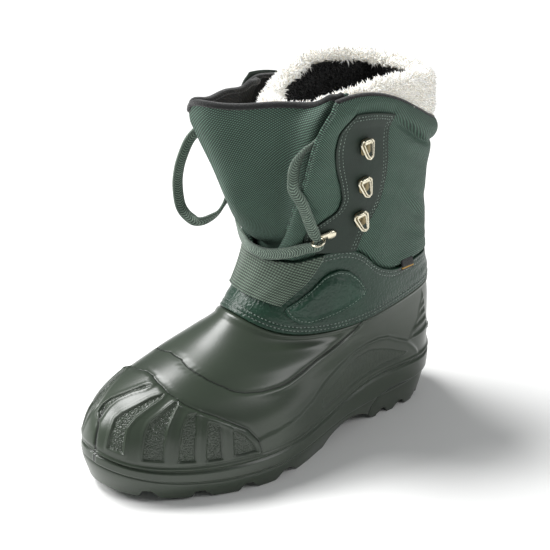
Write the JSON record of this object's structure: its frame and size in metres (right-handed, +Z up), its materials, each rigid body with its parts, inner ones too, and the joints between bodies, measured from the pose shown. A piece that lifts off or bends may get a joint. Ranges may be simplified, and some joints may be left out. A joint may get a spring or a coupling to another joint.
{
  "type": "fishing boot",
  "caption": "Insulated fishing boot for the left foot: moulded galosh with lugged sole, leather band, padded lace-up shaft, bellows tongue, instep strap and fur liner.",
  "frame": {"origin": "centre of the heel's flat underside, on the floor", "axes": "+Z up, -Y toward the toe, +X toward the outer side of the left foot"},
  "size_m": [0.1399, 0.313, 0.2804],
  "materials": {
    "moulded_rubber": "satin, dark grey-green foam rubber",
    "grained_leather": "satin, dark green with a pebbled grain",
    "padded_fabric": "matte, green twill over padding",
    "smooth_leather": "satin, smooth grey-green",
    "elastic_webbing": "matte, ribbed grey-green elastic",
    "pale_brass": "polished pale brass",
    "braided_lace": "matte, dark green flat braid with light flecks",
    "cream_fur": "matte, cream pile with a black lining"
  },
  "bodies": {
    "root": {"galosh_and_sole": "moulded_rubber", "leather_band": "grained_leather", "shaft": "padded_fabric", "tongue": "padded_fabric", "eyestay_outer": "smooth_leather", "eyestay_inner": "smooth_leather", "strap_patch_outer": "grained_leather", "strap_patch_inner": "grained_leather", "instep_strap": "elastic_webbing", "lace_hook_outer_1": "pale_brass", "lace_hook_outer_2": "pale_brass", "lace_hook_outer_3": "pale_brass", "lace_hook_inner_1": "pale_brass", "lace_hook_inner_2": "pale_brass", "lace_hook_inner_3": "pale_brass", "ring_hook_outer": "pale_brass", "ring_hook_inner": "pale_brass", "lace_bar": "braided_lace", "lace_end_outer": "braided_lace", "lace_end_inner": "braided_lace", "fur_liner": "cream_fur"}
  },
  "joints": []
}
